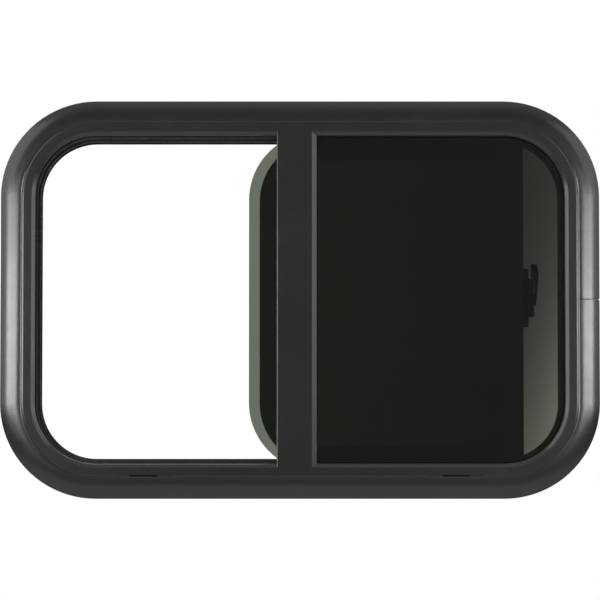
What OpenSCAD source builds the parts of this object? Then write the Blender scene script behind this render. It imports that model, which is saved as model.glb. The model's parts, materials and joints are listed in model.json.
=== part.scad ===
// Half-slider caravan window with rounded corners, shown with its sash slid open.
// X runs to the right seen from outside, Y runs inwards through the wall, Z is up.
// The origin lies on the flange's flat back, at the middle of the bottom rail.
// Sections are drawn as [inset from the outer edge, height out from the wall].

/* [Window] */
// Overall width over the flange
win_w = 600; // [560:1:900]
// Overall height over the flange
win_h = 399; // [360:1:600]
// Radius of the flange's outer corners
corner_r = 96; // [90:1:120]
// Thickness of the wall that the window is clamped to
wall_t = 38.1; // [34:0.1:60]

/* [Frame section] */
// Width of the flange, from the outer edge to the leg in the wall
flange_reach = 22; // [18:0.1:22]
// Wall thickness of the extrusion
metal_t = 1.6; // [1.2:0.1:2]
// Height of the flange's convex bead
bead_h = 8.3; // [7.5:0.1:8.5]
// Height of the bead's outer edge
edge_h = 2.7; // [1:0.1:3]
// Inset of the groove's outer side
groove_in = 21.6; // [20:0.1:21.6]
// Width of the groove
groove_w = 0.3; // [0.2:0.1:1.6]
// Height of the groove's bottom above the wall
groove_floor = 6.3; // [5:0.1:6.4]
// Height of the flat band inside the groove
band_h = 8.5; // [8:0.1:10]
// Inset of the band's chamfer
chamfer_in = 31; // [28:0.1:31.5]
// Inset of the outer glazing lip's edge
lip_in = 34.7; // [33:0.1:35]
// Height left at the glazing lip's edge, over the gasket
lip_edge_t = 1.1; // [0.8:0.1:1.5]
// Inset of the lip between the fixed glass and the sash
divider_in = 37; // [36:0.1:38]
// Inset of the lip between the sash and the insect screen
second_lip_in = 39.6; // [39:0.1:40.5]
// Inset of the innermost lip, which bounds the clear opening
clear_in = 40.8; // [40:0.1:44]
// Width of the seam where the bent extrusion's ends meet
seam_gap = 0.1; // [0.1:0.1:1]
// Width of the seam across the bead, whose ends stay further apart
seam_bead_gap = 0.9; // [0.3:0.1:1.2]
// Length of the key that joins the extrusion's ends
key_len = 70; // [40:1:90]

/* [Glazing] */
// Thickness of each sheet of glass
glass_t = 4; // [3:0.5:4]
// Thickness of the glazing gasket on each side of the fixed glass
gasket_t = 0.9; // [0.6:0.1:1.5]
// Gap between the fixed glass's edge and the frame, filled by setting blocks
block_t = 1.6; // [1:0.1:2.5]
// Width of the fixed glass's edge inside the mullion
glass_bite = 8; // [6.5:0.1:10]
// Length of a setting block
block_len = 60; // [30:1:80]

/* [Mullion] */
// Width of the mullion's face
mullion_w = 40; // [34:0.5:50]
// Distance of the mullion's middle to the left of the window's middle
mullion_shift = 3.4; // [0:0.1:6]
// Width of the chamfer along the fixed glass
mullion_chamfer = 4.6; // [3:0.1:6]
// Height left at the mullion's lip, over the gasket
mullion_lip_t = 0.8; // [0.6:0.1:1.5]
// Width of the pile strip that brushes the sash
pile_w = 7; // [4:0.5:8]

/* [Sash] */
// Distance of the open sash's right edge from the window's right edge
sash_stop_in = 76.1; // [74:0.1:90]
// Distance of the closed sash's right edge from the mullion's right edge
sash_short = 13.4; // [10:0.1:16]
// Width of the sash channel, across the glass
sash_channel_w = 10; // [9.5:0.1:12]
// Thickness of the run channel's flocked legs
liner_t = 1; // [0.8:0.1:1.1]
// Inset of the run channel's floor
liner_floor_in = 27.6; // [26.5:0.1:28.5]
// Gap between the sash or the screen and the floor that it slides on
run_gap = 0.3; // [0.2:0.1:0.6]
// Gap over the sash, which lets it be lifted out
sash_lift = 2.5; // [1:0.1:4]
// Gap left beside the sash or the screen when it is closed
close_gap = 0.5; // [0.3:0.1:1]
// Width of the sash's stile
stile_w = 30.5; // [26:0.5:34]
// Thickness of the stile, across the glass
stile_t = 7; // [6.4:0.1:7.2]
// Wall thickness of the stile
stile_wall = 1; // [0.8:0.1:1.1]
// Height of the plastic glides at the stile's ends
glide_h = 6; // [4:0.5:8]

/* [Latch] */
// Height of the latch's base plate
latch_h = 58.2; // [50:0.1:70]
// Distance of the latch's middle above the window's middle
latch_up = 1.9; // [-10:0.1:10]
// Distance that the base plate stands beyond the stile
latch_base_t = 5.3; // [5:0.1:7]
// Distance that the bracket stands beyond the base plate
bracket_w = 4.6; // [4.4:0.1:6]
// Height of the bracket, half above and half below the latch's middle
bracket_h = 38; // [34:0.5:44]
// Depth of the base plate, across the glass
latch_depth = 8.6; // [7.8:0.1:9.4]
// Radius of the lever's hinge pin
pin_r = 1; // [0.8:0.1:1.2]
// Radial clearance of the lever on its pin
pin_gap = 0.06; // [0.03:0.01:0.1]
// Distance that the lever reaches beyond the stile
lever_reach = 15.5; // [14.8:0.1:18]
// Height of the lever's top above the latch's middle
lever_up = 34.2; // [30:0.1:40]
// Thickness of the lever, across the glass
lever_t = 5; // [3:0.1:5.4]

/* [Insect screen] */
// Distance of the open screen's right edge from the open sash's right edge
screen_behind = 2.5; // [1:0.1:6]
// Distance of the closed screen's right edge from the mullion's right edge
screen_short = 22.1; // [16:0.1:26]
// Inset of the floor that the screen slides on
screen_floor_in = 32; // [31:0.1:34]
// Gap on each face of the screen
screen_gap = 0.6; // [0.3:0.1:1]
// Gap over the screen, which lets it be lifted out
screen_lift = 3.7; // [1:0.1:5]
// Width of the screen's bars
screen_bar_w = 21; // [16:0.5:24]
// Thickness of the screen's bars
screen_t = 8; // [6:0.1:9]
// Thickness of the woven mesh
mesh_t = 0.4; // [0.3:0.1:0.8]
// Width of the spline groove, which is half as deep
spline_w = 3.6; // [3:0.1:4]

/* [Weep covers] */
// Length of a weep cover
weep_len = 51.5; // [40:0.5:60]
// Length of the opening in a weep cover
weep_mouth = 27; // [15:1:34]
// Distance of each weep cover from the window's middle
weep_x = 156; // [80:1:180]

/* [Clamp ring] */
// Width of the ring outside the frame's leg
ring_over = 14; // [8:0.5:20]
// Distance that the ring's inner edge stands back from the clear opening
ring_back = 2.4; // [1:0.1:3]
// Thickness of the ring
ring_t = 1.6; // [1.2:0.1:2.5]
// Radius of the clamp screws' shanks
screw_r = 2.1; // [1.5:0.1:2.4]
// Radius of the clamp screws' heads
screw_head_r = 4; // [3:0.1:4.5]
// Spacing of the screws along the top and bottom
screw_pitch_x = 170; // [100:1:190]
// Spacing of the screws along the sides
screw_pitch_z = 140; // [60:1:170]

/* [Hidden] */

// Facets on a full turn of the large corners and of the small round parts
$fn = 96;
small_fn = 32;
// Steps along the drawn arcs of the frame's section, and along its bevels' short arcs
arc_steps = 10;
bevel_steps = 3;
// Overlap used where one cut has to pass right through a face
through = 1;
// Gap between pieces of one assembly that lie along the same curve
fit_gap = 0.05;
// Thickness of the lips inside the frame
lip_t = 1.4;
// Depth of the fixed glass's outer face below the band
glass_set = 4.2;
// Distance that a gasket shows beyond its lip, or a lip beyond its liner
lip_show = 0.6;
// Radii along the frame's section
crest_r = 1.8;
band_r = 1.2;
nose_r = 0.9;
// Width of the bevels beside the groove, and how far the bead's and the band's bevel tilt
bevel_w = 0.9;
bead_bevel_turn = 30;
band_bevel_turn = 20;
// Height of the bead's hollow half way along its rise, as a share of the bead's height
hollow_share = 0.65;

// Colours
black_coat = [0.03, 0.03, 0.032];
tinted = [0.1, 0.11, 0.1, 0.6];
soft_black = [0.02, 0.02, 0.02];
pile_grey = [0.12, 0.12, 0.12];
plastic_black = [0.04, 0.04, 0.04];
bare_metal = [0.6, 0.6, 0.62];
steel = [0.45, 0.45, 0.47];
mesh_grey = [0.06, 0.06, 0.06];

// Places across the section, as insets
flange_mid = flange_reach / 2;
leg_in = flange_reach + metal_t;
groove_out = groove_in + groove_w;
crest_in = groove_in - bevel_w - crest_r * sin(bead_bevel_turn);
fixed_in = leg_in + block_t;
ring_in = clear_in - ring_back;

// The bead's arc, from the outer edge to its crest
bead_rise = bead_h - edge_h;
bead_r = (crest_in * crest_in + bead_rise * bead_rise) / (2 * bead_rise);
bead_turn = asin(crest_in / bead_r);

// Places through the section, as heights out from the wall
fixed_front = band_h - glass_set;
fixed_back = fixed_front - glass_t;
lip_under = fixed_front + gasket_t;
lip_top = lip_under + lip_edge_t;
divider_front = fixed_back - gasket_t;
divider_back = divider_front - lip_t;
sash_mid = divider_back - sash_channel_w / 2;
second_lip_front = divider_back - sash_channel_w;
second_lip_back = second_lip_front - lip_t;
screen_front = second_lip_back - screen_gap;
screen_back = screen_front - screen_t;
last_lip_front = screen_back - screen_gap;
last_lip_back = last_lip_front - lip_t;
stile_front = sash_mid + stile_t / 2;
stile_back = sash_mid - stile_t / 2;

// Levels of the bevels' lower ends, beside the groove
bead_bevel_low = bead_h - crest_r * (1 - cos(bead_bevel_turn)) - bevel_w * tan(bead_bevel_turn);
band_bevel_low = band_h - band_r * (1 - cos(band_bevel_turn)) - bevel_w * tan(band_bevel_turn);

// The slope of the band's chamfer, and the level of the middle of its rounded nose
chamfer_turn = atan((band_h - lip_top) / (lip_in - chamfer_in));
nose_level = lip_top - nose_r * (1 - sin(chamfer_turn)) / cos(chamfer_turn);

// Places across the window, from its middle
mid_z = win_h / 2 - flange_mid;
half_w = win_w / 2;
half_h = win_h / 2;
mullion_left = -mullion_shift - mullion_w / 2;
mullion_right = mullion_left + mullion_w;
fixed_left = mullion_right - glass_bite;
sash_w = half_w - liner_floor_in - close_gap + mullion_right - sash_short;
sash_right = half_w - sash_stop_in;
sash_left = sash_right - sash_w;
sash_low = liner_floor_in + run_gap - half_h;
sash_high = half_h - liner_floor_in - sash_lift;
sash_corner_r = corner_r - liner_floor_in;
stile_left = sash_right - stile_w;
screen_w = half_w - screen_floor_in - close_gap + mullion_right - screen_short;
screen_right = sash_right - screen_behind;
screen_left = screen_right - screen_w;
screen_low = screen_floor_in + run_gap - half_h;
screen_high = half_h - screen_floor_in - screen_lift;
screen_corner_r = corner_r - screen_floor_in;

// Points along an arc
function arc(cx, cy, r, from, to, steps) =
    [for (i = [0:steps]) let (a = from + (to - from) * i / steps) [cx + r * cos(a), cy + r * sin(a)]];

// Stands a drawing of the window's plane upright, with its heights pointing outwards
module upright() {
    translate([0, 0, mid_z]) rotate([90, 0, 0]) children();
}

// Sweeps a section round the window's outer edge
module around_edge() {
    for (i = [0:3]) {
        flat_len = (i % 2 == 0 ? win_w : win_h) - 2 * corner_r;
        to_edge = i % 2 == 0 ? half_h : half_w;
        rotate([0, 0, 90 * i]) {
            translate([-flat_len / 2, -to_edge, 0])
                rotate([90, 0, 90]) linear_extrude(flat_len) children();
            translate([flat_len / 2, corner_r - to_edge, 0])
                rotate([0, 0, -90]) rotate_extrude(angle = 90)
                    translate([corner_r, 0]) mirror([1, 0]) children();
        }
    }
}

// Rounded rectangle at a given inset from the outer edge
module window_outline(inset) {
    r = corner_r - inset;
    w = half_w - inset;
    h = half_h - inset;
    square([2 * w, 2 * (h - r)], center = true);
    square([2 * (w - r), 2 * h], center = true);
    for (sx = [-1, 1], sy = [-1, 1])
        translate([sx * (w - r), sy * (h - r)]) circle(r);
}

// Part of the window's plane between two places across it
module between(x0, x1) {
    translate([x0, -half_h]) square([x1 - x0, win_h]);
}

// Upright sheet with rounded left corners, between four sides
module sliding_sheet(x0, x1, low, high, r) {
    translate([x0 + r, low]) square([x1 - x0 - r, high - low]);
    translate([x0, low + r]) square([2 * r, high - low - 2 * r]);
    for (y = [low + r, high - r]) translate([x0 + r, y]) circle(r);
}

// The frame's extruded section, with its hollow bead and its hollow chamber
module frame_section() {
    difference() {
        polygon(concat(
            [[edge_h, 0]],
            arc(crest_in, bead_h - bead_r, bead_r, 90 + bead_turn, 90, arc_steps),
            arc(crest_in, bead_h - crest_r, crest_r, 90, 90 - bead_bevel_turn, bevel_steps),
            [[groove_in, bead_bevel_low], [groove_in, groove_floor],
             [groove_out, groove_floor], [groove_out, band_bevel_low]],
            arc(groove_out + bevel_w + band_r * sin(band_bevel_turn), band_h - band_r,
                band_r, 90 + band_bevel_turn, 90, bevel_steps),
            [[chamfer_in, band_h]],
            arc(lip_in - nose_r, nose_level, nose_r, 90 - chamfer_turn, 0, arc_steps / 2),
            [[lip_in, lip_under],
             [leg_in, lip_under], [leg_in, divider_front], [divider_in, divider_front],
             [divider_in, divider_back], [leg_in, divider_back], [leg_in, second_lip_front],
             [second_lip_in, second_lip_front], [second_lip_in, second_lip_back],
             [screen_floor_in, second_lip_back], [screen_floor_in, last_lip_front],
             [clear_in, last_lip_front], [clear_in, last_lip_back], [leg_in, last_lip_back],
             [leg_in, metal_t - wall_t], [lip_in, metal_t - wall_t], [lip_in, -wall_t],
             [flange_reach, -wall_t], [flange_reach, 0]]));
        polygon([[crest_in / 4, metal_t], [groove_in - metal_t, metal_t],
            [groove_in - metal_t, bead_h - metal_t], [crest_in - metal_t, bead_h - metal_t],
            [crest_in / 2, bead_h * hollow_share]]);
        translate([leg_in, last_lip_front])
            square([screen_floor_in - metal_t - leg_in, second_lip_back - last_lip_front]);
    }
}

// Where the clamp screws stand, half way across the frame's inner flange
screw_in = (leg_in + lip_in) / 2;
screw_places = concat(
    [for (sy = [-1, 1], i = [-1:1]) [i * screw_pitch_x, sy * (half_h - screw_in)]],
    [for (sx = [-1, 1], i = [-1, 1]) [sx * (half_w - screw_in), i * screw_pitch_z / 2]]);

module at_screws() {
    for (p = screw_places) translate([p.x, p.y, 0]) children();
}

// Notch in the band's shoulder that takes a weep cover
weep_notch_w = 2.1;
weep_gap = 0.1;
weep_floor = groove_floor + weep_gap;
weep_wall = 0.4;
weep_sunk = 0.8;
module weep_block(len, gap) {
    translate([-len / 2, groove_out - half_h - groove_w / 2, weep_floor + gap])
        cube([len, weep_notch_w + groove_w / 2 - gap, band_h - weep_floor - gap + through]);
}

// Drain slot under a weep cover's opening, beside the glazing channel
module weep_drain() {
    translate([-weep_mouth / 2, groove_out - half_h + weep_gap, metal_t / 2])
        cube([weep_mouth, weep_notch_w - weep_gap - weep_wall, band_h]);
}

module outer_frame() {
    color(black_coat) upright() difference() {
        around_edge() frame_section();
        translate([half_w - clear_in - through, -seam_gap / 2, -wall_t - through])
            cube([clear_in + 2 * through, seam_gap, wall_t + band_h + 2 * through]);
        translate([half_w - groove_in, -seam_bead_gap / 2, metal_t])
            cube([groove_in + through, seam_bead_gap, bead_h]);
        at_screws() translate([0, 0, -wall_t - through])
            cylinder(r = screw_r + fit_gap, h = metal_t + 2 * through, $fn = small_fn);
        for (sx = [-1, 1]) translate([sx * weep_x, 0, 0]) {
            weep_block(weep_len, 0);
            weep_drain();
        }
    }
}

// Key inside the hollow chamber, which joins the extrusion's two ends
module seam_key() {
    key_gap = 0.1;
    color(bare_metal) upright()
        translate([half_w - screen_floor_in + metal_t + key_gap, -key_len / 2,
            last_lip_front + key_gap])
            cube([screen_floor_in - metal_t - leg_in - 2 * key_gap, key_len,
                second_lip_back - last_lip_front - 2 * key_gap]);
}

module fixed_glass() {
    color(tinted) upright() translate([0, 0, fixed_back]) linear_extrude(glass_t)
        intersection() {
            window_outline(fixed_in);
            between(fixed_left, half_w);
        }
}

// Flat strip round the fixed glass, on one of its faces
module glazing_strip(from_in, to_in, left, right, low, high) {
    translate([0, 0, low]) linear_extrude(high - low) difference() {
        intersection() {
            window_outline(from_in);
            between(left, half_w);
        }
        intersection() {
            window_outline(to_in);
            between(right, half_w);
        }
    }
}

// Width of a gasket under its lip, and the mullion's reach behind the glass beyond its face
strip_bite = 6;
back_lip = 2;

module outer_gasket() {
    color(soft_black) upright()
        glazing_strip(lip_in - strip_bite, lip_in + lip_show, mullion_right - strip_bite,
            mullion_right + lip_show, fixed_front, lip_under);
}

module inner_gasket() {
    color(soft_black) upright()
        glazing_strip(divider_in - 1.5 * strip_bite, divider_in - lip_show,
            mullion_right - strip_bite, mullion_right + back_lip - lip_show,
            divider_front, fixed_back);
}

module setting_blocks() {
    flat_w = half_w - corner_r - fixed_left;
    color(soft_black) upright()
        for (share = [0.25, 0.75])
            translate([fixed_left + share * flat_w - block_len / 2, leg_in - half_h, fixed_back])
                cube([block_len, block_t, glass_t]);
}

// The mullion's section across the window, with the glass pocket on its right
module mullion_section() {
    pocket = fixed_left - fit_gap;
    difference() {
        polygon(concat(
            [[mullion_left, divider_front]],
            arc(mullion_left + band_r, band_h - band_r, band_r, 180, 90, arc_steps / 2),
            [[mullion_right - mullion_chamfer, band_h], [mullion_right, lip_under + mullion_lip_t],
             [mullion_right, lip_under], [pocket, lip_under], [pocket, divider_front],
             [mullion_right + back_lip, divider_front], [mullion_right + back_lip, divider_back],
             [pocket - metal_t, divider_back], [pocket - metal_t, divider_front]]));
        translate([mullion_left + metal_t, divider_front + metal_t])
            square([pocket - mullion_left - 2 * metal_t, band_h - divider_front - 2 * metal_t]);
    }
}

// What the frame's lips leave for the mullion, seen from the side
module mullion_reach() {
    g = fit_gap;
    far = half_h - leg_in - g;
    lip = half_h - lip_in - g;
    top = half_h - chamfer_in - g;
    back = half_h - divider_in - g;
    polygon([[-far, divider_front], [-far, lip_under - g], [-lip, lip_under - g],
        [-lip, lip_top], [-top, band_h], [top, band_h],
        [lip, lip_top], [lip, lip_under - g], [far, lip_under - g],
        [far, divider_front], [back, divider_front], [back, divider_back],
        [-back, divider_back], [-back, divider_front]]);
}

module mullion() {
    color(black_coat) upright() intersection() {
        translate([0, half_h, 0]) rotate([90, 0, 0]) linear_extrude(win_h) mullion_section();
        translate([mullion_left - through, 0, 0]) rotate([90, 0, 90])
            linear_extrude(mullion_w + back_lip + 2 * through) mullion_reach();
    }
}

// Pile strip on the mullion's back, in front of the sliding glass
pile_gap = 0.3;
pile_set = 5;
module mullion_pile() {
    color(pile_grey) upright()
        translate([mullion_left + pile_set, divider_in - half_h + pile_gap, stile_front + pile_gap])
            cube([pile_w, win_h - 2 * divider_in - 2 * pile_gap, divider_front - stile_front - pile_gap]);
}

// Thin plate on the mullion's back lip that the closed latch's lever lies behind
keeper_h = 26;
keeper_t = 1;
keeper_groove = 2;
module latch_keeper() {
    color(plastic_black) upright() difference() {
        translate([fixed_left + through, latch_up - keeper_h / 2, divider_back - keeper_t])
            cube([glass_bite + back_lip - through, keeper_h, keeper_t]);
        translate([fixed_left + glass_bite / 2, -half_h, divider_back - 1.5 * keeper_t])
            cube([keeper_groove, win_h, keeper_t]);
    }
}

// Flocked run channel that guides the sash
module run_section() {
    top = divider_in - lip_show;
    difference() {
        translate([leg_in + fit_gap, second_lip_front])
            square([top - leg_in - fit_gap, sash_channel_w]);
        translate([liner_floor_in, second_lip_front + liner_t])
            square([top, sash_channel_w - 2 * liner_t]);
    }
}

module sash_run_channel() {
    color(pile_grey) upright() around_edge() run_section();
}

// Plastic cover in a weep notch, open in its middle
module weep_cover() {
    difference() {
        intersection() {
            weep_block(weep_len - 2 * weep_gap, weep_gap);
            translate([-weep_len, groove_out - half_h + weep_gap, 0])
                cube([2 * weep_len, weep_notch_w, band_h - weep_sunk]);
        }
        translate([-weep_mouth / 2, groove_out - half_h - through, 0])
            cube([weep_mouth, weep_notch_w + through - weep_gap - weep_wall, band_h]);
    }
}

module weep_cover_left() {
    color(plastic_black) upright() translate([-weep_x, 0, 0]) weep_cover();
}

module weep_cover_right() {
    color(plastic_black) upright() translate([weep_x, 0, 0]) weep_cover();
}

// Flat ring that clamps the wall from inside, with a lip round the frame's end
ring_lip = 1.4;
module ring_section() {
    outer = flange_reach - ring_over;
    polygon(concat(
        [[outer, -wall_t]],
        arc(outer + ring_t, -wall_t, ring_t, 180, 270, arc_steps / 2),
        arc(ring_in - ring_t, -wall_t, ring_t, 270, 360, arc_steps / 2),
        [[ring_in, ring_lip - wall_t], [ring_in - metal_t, ring_lip - wall_t],
         [ring_in - metal_t, -wall_t]]));
}

module clamp_ring() {
    color(black_coat) upright() difference() {
        around_edge() ring_section();
        at_screws() translate([0, 0, -wall_t - ring_t - through])
            cylinder(r = screw_r + fit_gap, h = ring_t + 2 * through, $fn = small_fn);
    }
}

// Pan-headed clamp screws with a cross slot
screw_len = 12;
slot_w = 1;
slot_depth = 1.1;
head_share = 0.7;
module clamp_screws() {
    color(plastic_black) upright() at_screws() {
        translate([0, 0, -wall_t - ring_t])
            cylinder(r = screw_r, h = screw_len, $fn = small_fn);
        translate([0, 0, -wall_t - ring_t - screw_r]) difference() {
            cylinder(r1 = screw_head_r * head_share, r2 = screw_head_r, h = screw_r, $fn = small_fn);
            for (a = [0, 90]) rotate([0, 0, a])
                translate([-screw_head_r / 2, -slot_w / 2, -through])
                    cube([screw_head_r, slot_w, slot_depth + through]);
        }
    }
}

// The sliding sash
glass_back = sash_mid - glass_t / 2;
stile_rim = 3;
glass_edge = sash_right - stile_rim;
stile_play = 0.5;

// Clips what slides to the right so that it clears the frame's round corners
module clear_of_corners(floor_in) {
    intersection() {
        window_outline(floor_in + run_gap);
        children();
    }
}

module sash_glass() {
    color(tinted) upright() translate([0, 0, glass_back]) linear_extrude(glass_t)
        clear_of_corners(liner_floor_in)
            sliding_sheet(sash_left, glass_edge, sash_low, sash_high, sash_corner_r);
}

// Part of the stile between two places across it and two heights
module stile_slice(x0, x1, low, high) {
    clear_of_corners(liner_floor_in) translate([x0, low]) square([x1 - x0, high - low]);
}

// The slot that the glass's edge fills in the stile
module stile_slot(extra) {
    translate([stile_left - through, -half_h, glass_back - extra])
        cube([glass_edge - stile_left + through + extra, win_h, glass_t + 2 * extra]);
}

module sash_stile() {
    color(black_coat) upright() difference() {
        translate([0, 0, stile_back]) linear_extrude(stile_t)
            stile_slice(stile_left, sash_right, sash_low + glide_h, sash_high - glide_h);
        stile_slot(stile_t / 2 - stile_wall - glass_t / 2);
        latch_screw_holes();
    }
}

module stile_gasket() {
    low = stile_back + stile_wall;
    color(soft_black) upright() difference() {
        translate([0, 0, low]) linear_extrude(stile_t - 2 * stile_wall)
            stile_slice(stile_left + stile_play, glass_edge + glass_back - low,
                sash_low + glide_h, sash_high - glide_h);
        stile_slot(0);
    }
}

module stile_glide(low, high) {
    color(plastic_black) upright() difference() {
        translate([0, 0, stile_back]) linear_extrude(stile_t)
            stile_slice(stile_left, sash_right, low, high);
        stile_slot(0);
    }
}

module stile_glide_top() {
    stile_glide(sash_high - glide_h, sash_high);
}

module stile_glide_bottom() {
    stile_glide(sash_low, sash_low + glide_h);
}

// The latch: a base plate on the stile's edge with a two-part bracket, and a lever on an upright pin
latch_proud = 0.3;
latch_front = stile_front + latch_proud;
latch_back = latch_front - latch_depth;
bracket_left = sash_right + latch_base_t;
bracket_right = bracket_left + bracket_w;
pin_set = 2.4;
pin_x = bracket_left + pin_set;
pin_level = latch_front - latch_depth / 2;
pin_fit = 0.02;
// The lever's hub between the bracket's two parts, as heights from the latch's middle
hub_low = -7.8;
hub_high = 5;
hub_gap = 0.4;
hub_r = 2;
// Rounded bump on the bracket's lower part
bump_t = 1.2;
bump_r = 10;
bump_down = 14.2;
// Screws through the base plate into the stile's edge
latch_screw_r = 1.2;
latch_screw_out = 24.5;
latch_screw_head = 1.2;
latch_screw_bite = 2.3;

module at_latch() {
    translate([0, latch_up, 0]) children();
}

// Upright rod on the lever's axis
module pin_rod(r, low, high) {
    translate([pin_x, high, pin_level]) rotate([90, 0, 0])
        cylinder(r = r, h = high - low, $fn = small_fn);
}

module at_latch_screws() {
    at_latch() for (sy = [-1, 1])
        translate([sash_right, sy * latch_screw_out, sash_mid]) rotate([0, 90, 0]) children();
}

module latch_screw_holes() {
    at_latch_screws() translate([0, 0, -stile_rim])
        cylinder(r = latch_screw_r + fit_gap, h = stile_rim + through, $fn = small_fn);
}

// Block of the latch between two places across it and two heights
module latch_block(x0, x1, low, high) {
    translate([x0, low, latch_back]) cube([x1 - x0, high - low, latch_depth]);
}

module latch_base() {
    half_bracket = bracket_h / 2;
    lower_top = hub_low - hub_gap;
    color(plastic_black) upright() difference() {
        at_latch() difference() {
            union() {
                latch_block(sash_right, bracket_left, -latch_h / 2, latch_h / 2);
                latch_block(bracket_left - through, bracket_right, hub_high + hub_gap, half_bracket);
                latch_block(bracket_left - through, bracket_right, -half_bracket, lower_top);
                intersection() {
                    latch_block(bracket_left, bracket_right + bump_t, -half_bracket, lower_top);
                    translate([bracket_right + bump_t - bump_r, -bump_down, latch_back])
                        cylinder(r = bump_r, h = latch_depth);
                }
            }
            pin_rod(pin_r + pin_fit, -half_bracket - through, half_bracket + through);
        }
        at_latch_screws() translate([0, 0, -through])
            cylinder(r = latch_screw_r + fit_gap, h = latch_base_t + 2 * through, $fn = small_fn);
        at_latch_screws() translate([0, 0, latch_base_t - latch_screw_head])
            cylinder(r = 2 * latch_screw_r + fit_gap, h = 2 * latch_screw_head, $fn = small_fn);
    }
}

module latch_screws() {
    shank = latch_base_t - latch_screw_head + latch_screw_bite;
    color(steel) upright() at_latch_screws() {
        translate([0, 0, -latch_screw_bite]) cylinder(r = latch_screw_r, h = shank, $fn = small_fn);
        translate([0, 0, latch_base_t - latch_screw_head])
            cylinder(r = 2 * latch_screw_r, h = latch_screw_head, $fn = small_fn);
    }
}

module latch_pin() {
    color(steel) upright() at_latch() pin_rod(pin_r, -bracket_h / 2, bracket_h / 2);
}

lever_gap = 0.6;
lever_set = 0.2;
lever_front = latch_front - lever_set;
lever_right = sash_right + lever_reach;
tail_left = bracket_right + lever_gap;
// The lever's right edge, as [set back from its furthest reach, drop from its top]
lever_edge = [[2.4, 0], [0.8, 4], [0, 10], [0.8, 22], [1.9, 34]];
tail_set = 3;
pad_set = 2.3;
pad_gap = 1.3;

// The lever seen from outside: a thumb pad over the bracket, narrowing to a tail at the hub
module lever_outline() {
    pad_left = bracket_left + pad_set;
    shoulder = bracket_h / 2 + pad_gap;
    polygon(concat(
        [[pad_left, lever_up]],
        [for (p = lever_edge) [lever_right - p.x, lever_up - p.y]],
        [[lever_right - tail_set, hub_low], [tail_left, hub_low], [tail_left, bracket_h / 2],
         [pad_left, shoulder]]));
}

module latch_lever() {
    color(plastic_black) upright() at_latch() difference() {
        union() {
            translate([0, 0, lever_front - lever_t]) linear_extrude(lever_t) lever_outline();
            translate([pin_x, hub_low, pin_level - hub_r])
                cube([tail_left + through - pin_x, hub_high - hub_low, 2 * hub_r]);
            pin_rod(hub_r, hub_low, hub_high);
        }
        pin_rod(pin_r + pin_gap, hub_low - through, hub_high + through);
    }
}

// The insect screen
screen_stile_left = screen_right - screen_bar_w;
spline_depth = spline_w / 2;
groove_land = 2;
spline_trim = screen_bar_w - spline_w - groove_land;
spline_play = 0.1;

// The screen's outline, drawn smaller by a trim on all sides
module screen_outline(trim) {
    sliding_sheet(screen_left + trim, screen_right - trim, screen_low + trim, screen_high - trim,
        screen_corner_r - trim);
}

module screen_loop(outer, inner) {
    difference() {
        screen_outline(outer);
        screen_outline(inner);
    }
}

// The screen's bars, less the groove that holds the mesh
module screen_bars() {
    difference() {
        translate([0, 0, screen_back]) linear_extrude(screen_t) clear_of_corners(screen_floor_in)
            screen_loop(0, screen_bar_w);
        translate([0, 0, screen_back - through]) linear_extrude(spline_depth + through)
            screen_loop(spline_trim, spline_trim + spline_w);
    }
}

// One part of the screen's bars, inside a box on the window's plane
module screen_part(x0, x1, low, high) {
    upright() intersection() {
        screen_bars();
        translate([x0, low, screen_back]) cube([x1 - x0, high - low, screen_t]);
    }
}

module screen_bow() {
    color(black_coat) screen_part(screen_left, screen_stile_left, screen_low, screen_high);
}

module screen_stile() {
    color(black_coat) screen_part(screen_stile_left, screen_right,
        screen_low + screen_bar_w, screen_high - screen_bar_w);
}

module screen_corner_top() {
    color(plastic_black) screen_part(screen_stile_left, screen_right,
        screen_high - screen_bar_w, screen_high);
}

module screen_corner_bottom() {
    color(plastic_black) screen_part(screen_stile_left, screen_right,
        screen_low, screen_low + screen_bar_w);
}

module screen_mesh() {
    color(mesh_grey) upright() translate([0, 0, screen_back - mesh_t]) linear_extrude(mesh_t)
        screen_outline(spline_trim + spline_w);
}

module screen_spline() {
    color(soft_black) upright() translate([0, 0, screen_back - mesh_t])
        linear_extrude(spline_depth + mesh_t)
            screen_loop(spline_trim + spline_play, spline_trim + spline_w - spline_play);
}

// Finger pull on the screen's right bar: a plate with a raised lip
pull_w = 12;
pull_h = 34;
pull_t = 1.6;
pull_lip = 5;
pull_set = 1.5;
module screen_pull() {
    pull_right = screen_right - pull_set;
    color(plastic_black) upright() union() {
        translate([pull_right - pull_w, -pull_h / 2, screen_back - pull_t])
            cube([pull_w, pull_h, pull_t]);
        translate([pull_right - pull_t, -pull_h / 2, screen_back - pull_lip])
            cube([pull_t, pull_h, pull_lip]);
    }
}

outer_frame();
seam_key();
fixed_glass();
outer_gasket();
inner_gasket();
setting_blocks();
mullion();
mullion_pile();
latch_keeper();
sash_run_channel();
weep_cover_left();
weep_cover_right();
clamp_ring();
clamp_screws();
sash_glass();
sash_stile();
stile_gasket();
stile_glide_top();
stile_glide_bottom();
latch_base();
latch_screws();
latch_pin();
latch_lever();
screen_bow();
screen_stile();
screen_corner_top();
screen_corner_bottom();
screen_mesh();
screen_spline();
screen_pull();
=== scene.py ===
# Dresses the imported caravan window: finishes, the woven insect screen, the studio and the camera.
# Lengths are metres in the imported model's frame: X to the right, Y inwards through the wall, Z up.
import json
import math

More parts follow.
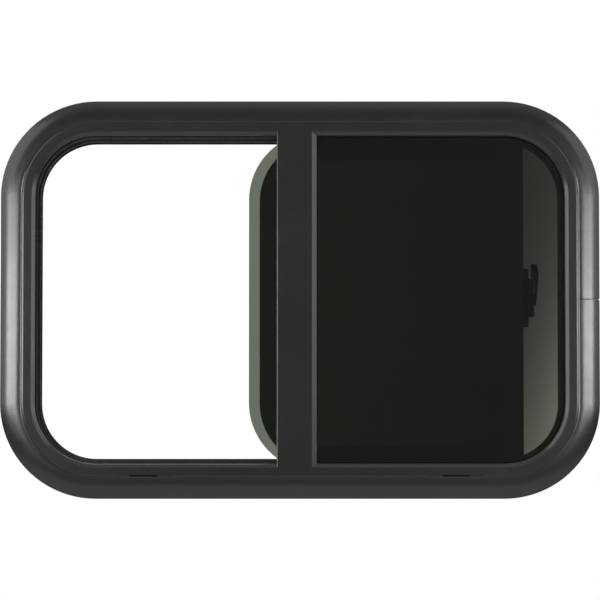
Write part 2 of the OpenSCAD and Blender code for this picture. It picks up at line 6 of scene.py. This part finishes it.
import bpy
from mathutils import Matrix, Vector

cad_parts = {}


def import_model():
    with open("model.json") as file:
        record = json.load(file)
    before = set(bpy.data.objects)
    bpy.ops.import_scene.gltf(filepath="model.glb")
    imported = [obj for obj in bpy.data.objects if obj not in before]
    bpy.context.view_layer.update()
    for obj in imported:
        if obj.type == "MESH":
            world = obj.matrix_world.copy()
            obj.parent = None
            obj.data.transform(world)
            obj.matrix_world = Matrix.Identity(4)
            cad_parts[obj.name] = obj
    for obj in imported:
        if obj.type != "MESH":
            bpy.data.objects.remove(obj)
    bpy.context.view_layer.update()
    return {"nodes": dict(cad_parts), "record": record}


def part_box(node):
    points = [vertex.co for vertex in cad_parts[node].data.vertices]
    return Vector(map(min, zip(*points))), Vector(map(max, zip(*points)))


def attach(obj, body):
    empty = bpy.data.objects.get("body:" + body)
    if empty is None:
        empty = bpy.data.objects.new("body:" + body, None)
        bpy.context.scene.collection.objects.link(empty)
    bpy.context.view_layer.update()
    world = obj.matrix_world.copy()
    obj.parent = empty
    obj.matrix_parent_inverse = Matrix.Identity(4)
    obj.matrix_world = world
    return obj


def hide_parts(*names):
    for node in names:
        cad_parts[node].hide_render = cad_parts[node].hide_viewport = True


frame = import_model()
nodes = frame["nodes"]
scene = bpy.context.scene
MM = 0.001


# Shader nodes
def maths(tree, operation, *terms):
    """A math node's result. Each term is a number or another node's output."""
    node = tree.nodes.new("ShaderNodeMath")
    node.operation = operation
    for socket, term in zip(node.inputs, terms):
        if isinstance(term, (int, float)):
            socket.default_value = term
        else:
            tree.links.new(term, socket)
    return node.outputs["Value"]


def mapped(tree, source, source_range, result_range=(0, 1), course="LINEAR"):
    """Takes a value from one range to another, and holds it at both ends."""
    node = tree.nodes.new("ShaderNodeMapRange")
    node.interpolation_type = course
    ends = ("From Min", "From Max", "To Min", "To Max")
    for socket, value in zip(ends, (*source_range, *result_range)):
        node.inputs[socket].default_value = value
    tree.links.new(source, node.inputs["Value"])
    return node.outputs["Result"]


def coordinates(tree, kind):
    return tree.nodes.new("ShaderNodeTexCoord").outputs[kind]


def axes_of(tree, vector):
    """A vector's X, Y and Z."""
    node = tree.nodes.new("ShaderNodeSeparateXYZ")
    tree.links.new(vector, node.inputs["Vector"])
    return node.outputs


# Finishes
RAMP_FROM = 0.35
RAMP_TO = 0.65
NOISE_RANGE = (0.3, 0.7)


class Finish:
    """One procedural material: a shader whose colour, roughness and relief follow noise."""

    def __init__(self, name):
        self.material = bpy.data.materials.new(name)
        self.material.use_nodes = True
        self.tree = self.material.node_tree
        self.shader = self.tree.nodes["Principled BSDF"]
        self.place = coordinates(self.tree, "Object")
        self.last_bump = None

    def fixed(self, **sockets):
        for key, value in sockets.items():
            self.shader.inputs[key.replace("_", " ")].default_value = value
        return self

    def noise(self, scale, detail, stretch=(1, 1, 1)):
        stretched = self.tree.nodes.new("ShaderNodeMapping")
        stretched.inputs["Scale"].default_value = stretch
        self.tree.links.new(self.place, stretched.inputs["Vector"])
        tex = self.tree.nodes.new("ShaderNodeTexNoise")
        tex.inputs["Scale"].default_value = scale
        tex.inputs["Detail"].default_value = detail
        self.tree.links.new(stretched.outputs["Vector"], tex.inputs["Vector"])
        return tex.outputs["Fac"]

    def cells(self, scale):
        tex = self.tree.nodes.new("ShaderNodeTexVoronoi")
        tex.inputs["Scale"].default_value = scale
        self.tree.links.new(self.place, tex.inputs["Vector"])
        return tex.outputs["Distance"]

    def colour(self, source, dark, pale):
        ramp = self.tree.nodes.new("ShaderNodeValToRGB")
        first, second = ramp.color_ramp.elements
        first.position = RAMP_FROM
        first.color = (*dark, 1)
        second.position = RAMP_TO
        second.color = (*pale, 1)
        self.tree.links.new(source, ramp.inputs["Fac"])
        self.tree.links.new(ramp.outputs["Color"], self.shader.inputs["Base Color"])
        return ramp.outputs["Color"]

    def rough(self, source, low, high):
        result = mapped(self.tree, source, NOISE_RANGE, (low, high))
        self.tree.links.new(result, self.shader.inputs["Roughness"])

    def relief(self, source, depth, strength):
        bump = self.tree.nodes.new("ShaderNodeBump")
        bump.inputs["Distance"].default_value = depth
        bump.inputs["Strength"].default_value = strength
        self.tree.links.new(source, bump.inputs["Height"])
        if self.last_bump:
            self.tree.links.new(self.last_bump, bump.inputs["Normal"])
        self.last_bump = bump.outputs["Normal"]
        self.tree.links.new(self.last_bump, self.shader.inputs["Normal"])


def black_coat():
    f = Finish("black_coat_satin")
    f.colour(f.noise(scale=9, detail=3), dark=(0.0120, 0.0120, 0.0125), pale=(0.0160, 0.0160, 0.0166))
    f.rough(f.noise(scale=60, detail=4), low=0.21, high=0.27)
    f.relief(f.noise(scale=1100, detail=1), depth=0.05 * MM, strength=0.2)
    f.relief(f.noise(scale=70, detail=2), depth=0.12 * MM, strength=0.6)
    return f.fixed(Coat_Weight=1.0, Coat_Roughness=0.20, IOR=1.58)


GROUND_EDGE = (0.07, 0.08, 0.07)
FACES_THROUGH = 0.9


def tinted_glass():
    """Tinted glass whose ground edges, the faces that don't look through the wall, are darker."""
    f = Finish("tinted_glass_grey")
    tint = f.colour(f.noise(scale=2.5, detail=1), dark=(0.140, 0.156, 0.124), pale=(0.152, 0.168, 0.136))
    f.rough(f.noise(scale=14, detail=3), low=0.0, high=0.025)
    facing = axes_of(f.tree, coordinates(f.tree, "Normal"))
    on_edge = maths(f.tree, "LESS_THAN", maths(f.tree, "ABSOLUTE", facing["Y"]), FACES_THROUGH)
    mix = f.tree.nodes.new("ShaderNodeMix")
    mix.data_type = "RGBA"
    plain, ground = [socket for socket in mix.inputs if socket.type == "RGBA"]
    mixed = [socket for socket in mix.outputs if socket.type == "RGBA"][0]
    ground.default_value = (*GROUND_EDGE, 1)
    f.tree.links.new(tint, plain)
    f.tree.links.new(on_edge, mix.inputs[0])
    f.tree.links.new(mixed, f.shader.inputs["Base Color"])
    return f.fixed(Transmission_Weight=1.0, IOR=1.5)


def gasket_rubber():
    f = Finish("gasket_rubber_matt")
    f.colour(f.noise(scale=40, detail=3), dark=(0.010, 0.010, 0.010), pale=(0.017, 0.017, 0.017))
    f.rough(f.noise(scale=120, detail=3), low=0.5, high=0.7)
    f.relief(f.noise(scale=700, detail=2), depth=0.05 * MM, strength=0.4)
    return f


def pile_fabric():
    f = Finish("pile_fabric_flock")
    f.colour(f.noise(scale=900, detail=3), dark=(0.012, 0.012, 0.012), pale=(0.05, 0.05, 0.05))
    f.rough(f.noise(scale=300, detail=2), low=0.85, high=1.0)
    f.relief(f.noise(scale=1600, detail=3, stretch=(1, 0.35, 1)), depth=0.25 * MM, strength=0.8)
    return f.fixed(Sheen_Weight=0.5, Sheen_Roughness=0.4)


def black_plastic():
    f = Finish("black_plastic_grain")
    f.colour(f.noise(scale=25, detail=3), dark=(0.012, 0.012, 0.012), pale=(0.020, 0.020, 0.020))
    f.rough(f.noise(scale=200, detail=2), low=0.42, high=0.55)
    f.relief(f.cells(scale=1400), depth=0.04 * MM, strength=0.5)
    return f


def metal(name, dark, pale, stretch):
    f = Finish(name)
    f.colour(f.noise(scale=60, detail=4), dark, pale)
    f.rough(f.noise(scale=90, detail=4, stretch=stretch), low=0.3, high=0.45)
    f.relief(f.noise(scale=500, detail=2, stretch=stretch), depth=0.02 * MM, strength=0.3)
    return f.fixed(Metallic=1.0)


def key_metal():
    return metal("key_metal_mill", (0.52, 0.52, 0.54), (0.64, 0.64, 0.66), stretch=(1, 1, 0.05))


def screw_steel():
    return metal("screw_steel_zinc", (0.10, 0.10, 0.11), (0.17, 0.17, 0.18), stretch=(1, 0.1, 1))


def screen_weave():
    f = Finish("screen_weave_coated")
    f.colour(f.noise(scale=300, detail=2), dark=(0.008, 0.008, 0.008), pale=(0.016, 0.016, 0.016))
    f.rough(f.noise(scale=800, detail=1), low=0.45, high=0.6)
    return f


FINISHES = {
    "black_coat": black_coat(),
    "tinted_glass": tinted_glass(),
    "gasket_rubber": gasket_rubber(),
    "pile_fabric": pile_fabric(),
    "black_plastic": black_plastic(),
    "key_metal": key_metal(),
    "screw_steel": screw_steel(),
    "screen_weave": screen_weave(),
}
for part in frame["record"]["subparts"]:
    slots = nodes[part["node"]].data.materials
    slots.clear()
    slots.append(FINISHES[part["material_slot"]].material)


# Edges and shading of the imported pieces. Eased widths are in millimetres, and angles in degrees.
SHARP_FROM = 24
JOIN_WITHIN = 0.001 * MM
EASED_STEPS = 2
EASED = {
    "outer_frame": 0.25,
    "mullion": 0.2,
    "clamp_ring": 0.2,
    "sash_stile": 0.3,
    "screen_bow": 0.5,
    "screen_stile": 0.5,
    "screen_corner_top": 0.4,
    "screen_corner_bottom": 0.4,
    "latch_base": 0.35,
    "latch_lever": 0.5,
    "screen_pull": 0.3,
    "sash_glass": 0.8,
    "fixed_glass": 0.3,
    "weep_cover_left": 0.1,
    "weep_cover_right": 0.1,
    "stile_glide_top": 0.3,
    "stile_glide_bottom": 0.3,
}


def soft_edges():
    """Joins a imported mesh's split faces, and keeps only edges that turn more than SHARP_FROM sharp."""
    group = bpy.data.node_groups.new("soft_edges", "GeometryNodeTree")
    for way in ("INPUT", "OUTPUT"):
        group.interface.new_socket("Geometry", in_out=way, socket_type="NodeSocketGeometry")
    add = group.nodes.new
    link = group.links.new
    join = add("GeometryNodeMergeByDistance")
    join.inputs["Distance"].default_value = JOIN_WITHIN
    drop = add("GeometryNodeRemoveAttribute")
    drop.inputs["Name"].default_value = "custom_normal"
    angle = add("GeometryNodeInputMeshEdgeAngle")
    sharp = add("FunctionNodeCompare")
    sharp.operation = "GREATER_THAN"
    sharp.inputs["B"].default_value = math.radians(SHARP_FROM)
    link(angle.outputs["Unsigned Angle"], sharp.inputs["A"])
    flow = [add("NodeGroupInput"), join, drop]
    for domain, smooth in (("FACE", True), ("EDGE", True), ("EDGE", False)):
        shade = add("GeometryNodeSetShadeSmooth")
        shade.domain = domain
        shade.inputs["Shade Smooth"].default_value = smooth
        if not smooth:
            link(sharp.outputs["Result"], shade.inputs["Selection"])
        flow.append(shade)
    flow.append(add("NodeGroupOutput"))
    for before, after in zip(flow, flow[1:]):
        link(before.outputs[0], after.inputs[0])
    return group


def dress_edges(obj, group, eased):
    obj.modifiers.new("joined", "NODES").node_group = group
    if eased:
        cut = obj.modifiers.new("eased", "BEVEL")
        cut.width = eased
        cut.segments = EASED_STEPS
        cut.limit_method = "ANGLE"
        cut.angle_limit = math.radians(SHARP_FROM)
        cut.use_clamp_overlap = True
        weigh = obj.modifiers.new("weighed", "WEIGHTED_NORMAL")
        weigh.keep_sharp = True


edge_group = soft_edges()
for node, piece in nodes.items():
    dress_edges(piece, edge_group, EASED.get(node, 0) * MM)


def mesh_object(name, verts, faces, material):
    mesh = bpy.data.meshes.new(name)
    mesh.from_pydata(verts, [], faces)
    mesh.materials.append(material)
    obj = bpy.data.objects.new(name, mesh)
    scene.collection.objects.link(obj)
    return obj


# Woven insect screen: upright threads, and level ones behind them, each a flat bar
PITCH = 1.4 * MM
THREAD = 0.80 * MM
THREAD_HALF_DEPTH = 0.1 * MM
THREAD_SIDES = 6
MESH_CORNER = 45 * MM


def corner_cut(from_side):
    """How far the round corner cuts into a thread that lies this far from the mesh's side."""
    inset = max(MESH_CORNER - from_side, 0)
    return MESH_CORNER - math.sqrt(MESH_CORNER ** 2 - inset ** 2)


def add_thread(a, b, verts, faces):
    start = len(verts)
    depth = Vector((0, THREAD_HALF_DEPTH, 0))
    width = (b - a).normalized().cross(depth.normalized()) * (THREAD / 2)
    corners = range(THREAD_SIDES)
    for end in (a, b):
        for k in corners:
            turn = math.tau * k / THREAD_SIDES
            verts.append(end + width * math.cos(turn) + depth * math.sin(turn))
    for k in corners:
        n = (k + 1) % THREAD_SIDES
        faces.append([start + i for i in (k, n, THREAD_SIDES + n, THREAD_SIDES + k)])
    faces.append([start + k for k in reversed(corners)])
    faces.append([start + THREAD_SIDES + k for k in corners])


def woven_screen():
    low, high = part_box("screen_mesh")
    mid_y = (low.y + high.y) / 2
    front = mid_y - THREAD_HALF_DEPTH
    back = mid_y + THREAD_HALF_DEPTH
    verts = []
    faces = []
    for i in range(int((high.x - low.x) / PITCH)):
        x = low.x + (i + 0.5) * PITCH
        cut = corner_cut(x - low.x)
        add_thread(Vector((x, front, low.z + cut)), Vector((x, front, high.z - cut)), verts, faces)
    for i in range(int((high.z - low.z) / PITCH)):
        z = low.z + (i + 0.5) * PITCH
        cut = corner_cut(min(z - low.z, high.z - z))
        add_thread(Vector((low.x + cut, back, z)), Vector((high.x, back, z)), verts, faces)
    obj = mesh_object("insect_mesh_weave", verts, faces, FINISHES["screen_weave"].material)
    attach(obj, "insect_screen")
    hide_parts("screen_mesh")


woven_screen()


# Studio: a pale floor, and cards that only reflections see. Angles are in degrees.
WINDOW_MID = 0.19
FLOOR_Z = -0.45
FLOOR_HALF = 8
FLOOR_COLOUR = (0.82, 0.82, 0.81)
FLOOR_ROUGHNESS = 0.9
DOME_RADIUS = 2.9
DOME_FROM = -60
DOME_TO = 90
DOME_SWEEP = 180
DOME_RINGS = 16
DOME_STEPS = 32
DOME_FADE = (1.81, 2.78)
DOME_STRENGTH = (0.10, 0.38)
FLAG_RADIUS = 1.0
FLAG_AHEAD = -90
FLAG_SPREAD = 75
FLAG_STEPS = 24
FLAG_FOOT = FLOOR_Z + 1 * MM
FLAG_TOP = 0.06
FLAG_BACK = 0.3
FLAG_FADE = (-0.45, -0.15)
FLAG_STRENGTH = (0.36, 0.08)


def floor():
    pale = bpy.data.materials.new("studio_floor_pale")
    pale.use_nodes = True
    shader = pale.node_tree.nodes["Principled BSDF"]
    shader.inputs["Base Color"].default_value = (*FLOOR_COLOUR, 1)
    shader.inputs["Roughness"].default_value = FLOOR_ROUGHNESS
    corners = ((-1, -1), (1, -1), (1, 1), (-1, 1))
    verts = [(FLOOR_HALF * x, FLOOR_HALF * y, FLOOR_Z) for x, y in corners]
    obj = mesh_object("studio_floor", verts, [(0, 1, 2, 3)], pale)


def glow(name, heights, strengths):
    """A plain light whose strength follows the object's own height."""
    material = bpy.data.materials.new(name)
    material.use_nodes = True
    tree = material.node_tree
    tree.nodes.remove(tree.nodes["Principled BSDF"])
    light = tree.nodes.new("ShaderNodeEmission")
    light.inputs["Color"].default_value = (1, 1, 1, 1)
    height = axes_of(tree, coordinates(tree, "Object"))["Z"]
    tree.links.new(mapped(tree, height, heights, strengths, "SMOOTHSTEP"), light.inputs["Strength"])
    tree.links.new(light.outputs["Emission"], tree.nodes["Material Output"].inputs["Surface"])
    return material


def reflection_card(name, verts, faces, material):
    obj = mesh_object(name, verts, faces, material)
    obj.visible_camera = False
    obj.visible_diffuse = False
    obj.visible_transmission = False
    obj.visible_shadow = False


def grey_dome():
    """The dim side of the studio: the front half of a large sphere, brighter high up."""
    verts = []
    faces = []
    for ring in range(DOME_RINGS + 1):
        up = math.radians(DOME_FROM + (DOME_TO - DOME_FROM) * ring / DOME_RINGS)
        for step in range(DOME_STEPS + 1):
            turn = math.radians(DOME_SWEEP * step / DOME_STEPS)
            out = DOME_RADIUS * math.cos(up)
            height = WINDOW_MID + DOME_RADIUS * math.sin(up)
            verts.append((out * math.cos(turn), -out * math.sin(turn), height))
    row = DOME_STEPS + 1
    for ring in range(DOME_RINGS):
        for step in range(DOME_STEPS):
            a = ring * row + step
            faces.append((a, a + 1, a + row + 1, a + row))
    reflection_card("studio_dome", verts, faces, glow("studio_dome_grey", DOME_FADE, DOME_STRENGTH))


def dark_flag():
    """A low curved card in front and over the near floor, for an even sheen on the bottom rail."""
    verts = []
    faces = []
    for step in range(FLAG_STEPS + 1):
        turn = math.radians(FLAG_AHEAD - FLAG_SPREAD + 2 * FLAG_SPREAD * step / FLAG_STEPS)
        for z in (FLAG_FOOT, FLAG_TOP):
            verts.append((FLAG_RADIUS * math.cos(turn), FLAG_RADIUS * math.sin(turn), z))
    hub = len(verts)
    verts.append((0, FLAG_BACK, FLAG_FOOT))
    for step in range(FLAG_STEPS):
        foot = 2 * step
        faces.append((foot, foot + 2, foot + 3, foot + 1))
        faces.append((foot, foot + 2, hub))
    reflection_card("studio_flag", verts, faces, glow("studio_flag_grey", FLAG_FADE, FLAG_STRENGTH))


def soft_box(name, place, aim, size, watts):
    lamp = bpy.data.lights.new(name, "AREA")
    lamp.shape = "RECTANGLE"
    lamp.size, lamp.size_y = size
    lamp.energy = watts
    obj = bpy.data.objects.new(name, lamp)
    scene.collection.objects.link(obj)
    obj.location = place
    obj.rotation_euler = (Vector(aim) - Vector(place)).to_track_quat("-Z", "Y").to_euler()
    obj.visible_camera = False


def lamps():
    centre = (0, 0, WINDOW_MID)
    side = (1.15, 0.31)
    soft_box("soft_box_left", place=(-1.229, -1.766, 0.288), aim=(-0.29, 0, 0.20), size=side, watts=9.7)
    soft_box("soft_box_right", place=(1.229, -1.766, 0.280), aim=(0.29, 0, 0.19), size=side, watts=8.6)
    soft_box("soft_fill_left", place=(-1.74, -1.22, 1.0), aim=centre, size=(1.6, 1.9), watts=9.8)
    soft_box("soft_fill_right", place=(1.74, -1.22, 0.95), aim=centre, size=(1.6, 1.7), watts=6.4)
    soft_box("soft_box_back", place=(0, 1.8, 1.6), aim=centre, size=(1.2, 0.8), watts=8)


# World: white where it is seen, and dimmer as a light. What rays through the tinted panes see of it
# darkens upwards and to the right, between these ends of the direction they look in.
LIGHT_LEVEL = 0.46
SEEN_LEVEL = 1.0
PANE_DARKENS = 0.89
PANE_LEAN = -3.4
PANE_RISE = 4
PANE_X = (0.0, 0.050)
PANE_Y = (0.90, 0.99)
PANE_Z = (-0.160, -0.035)


def quick_rise(tree, source):
    """A rise from 0 to 1 that starts fast and flattens."""
    left = maths(tree, "SUBTRACT", 1.0, source)
    return maths(tree, "SUBTRACT", 1.0, maths(tree, "POWER", left, PANE_RISE))


def pane_dark(tree, through):
    """The dark behind the panes, as a share from 0 to 1, on rays that pass through glass."""
    look = axes_of(tree, coordinates(tree, "Generated"))
    leant = maths(tree, "MULTIPLY_ADD", look["X"], PANE_LEAN, look["Z"])
    share = maths(tree, "MULTIPLY", through, mapped(tree, look["X"], PANE_X))
    share = maths(tree, "MULTIPLY", share, quick_rise(tree, mapped(tree, leant, PANE_Z)))
    return maths(tree, "MULTIPLY", share, mapped(tree, look["Y"], PANE_Y))


def world():
    scene.world = bpy.data.worlds.new("studio_world")
    scene.world.use_nodes = True
    tree = scene.world.node_tree
    back = tree.nodes["Background"]
    ray = tree.nodes.new("ShaderNodeLightPath").outputs
    seen = maths(tree, "MAXIMUM", ray["Is Camera Ray"], ray["Is Glossy Ray"])
    seen = maths(tree, "MAXIMUM", seen, ray["Is Transmission Ray"])
    level = mapped(tree, seen, (0, 1), (LIGHT_LEVEL, SEEN_LEVEL))
    dark = pane_dark(tree, ray["Is Transmission Ray"])
    left = maths(tree, "MULTIPLY_ADD", dark, -PANE_DARKENS, 1.0)
    tree.links.new(maths(tree, "MULTIPLY", level, left), back.inputs["Strength"])
    back.inputs["Color"].default_value = (1, 1, 1, 1)


floor()
grey_dome()
dark_flag()
world()
lamps()


# Camera: below the window's middle and far off, as in the photo
ELEVATION = math.radians(-4.1)
DISTANCE = 4.4
VIEW_WIDTH = 0.6012
AIM = Vector((0, 0, 0.1882))
SENSOR_WIDTH = 36
CLIP = (0.1, 100)


def camera():
    lens = bpy.data.cameras.new("photo_camera")
    lens.sensor_width = SENSOR_WIDTH
    lens.lens = SENSOR_WIDTH * DISTANCE / VIEW_WIDTH
    lens.clip_start, lens.clip_end = CLIP
    obj = bpy.data.objects.new("photo_camera", lens)
    scene.collection.objects.link(obj)
    obj.location = AIM + DISTANCE * Vector((0, -math.cos(ELEVATION), math.sin(ELEVATION)))
    obj.rotation_euler = (math.pi / 2 - ELEVATION, 0, 0)
    scene.camera = obj


camera()
scene.view_settings.view_transform = "Standard"
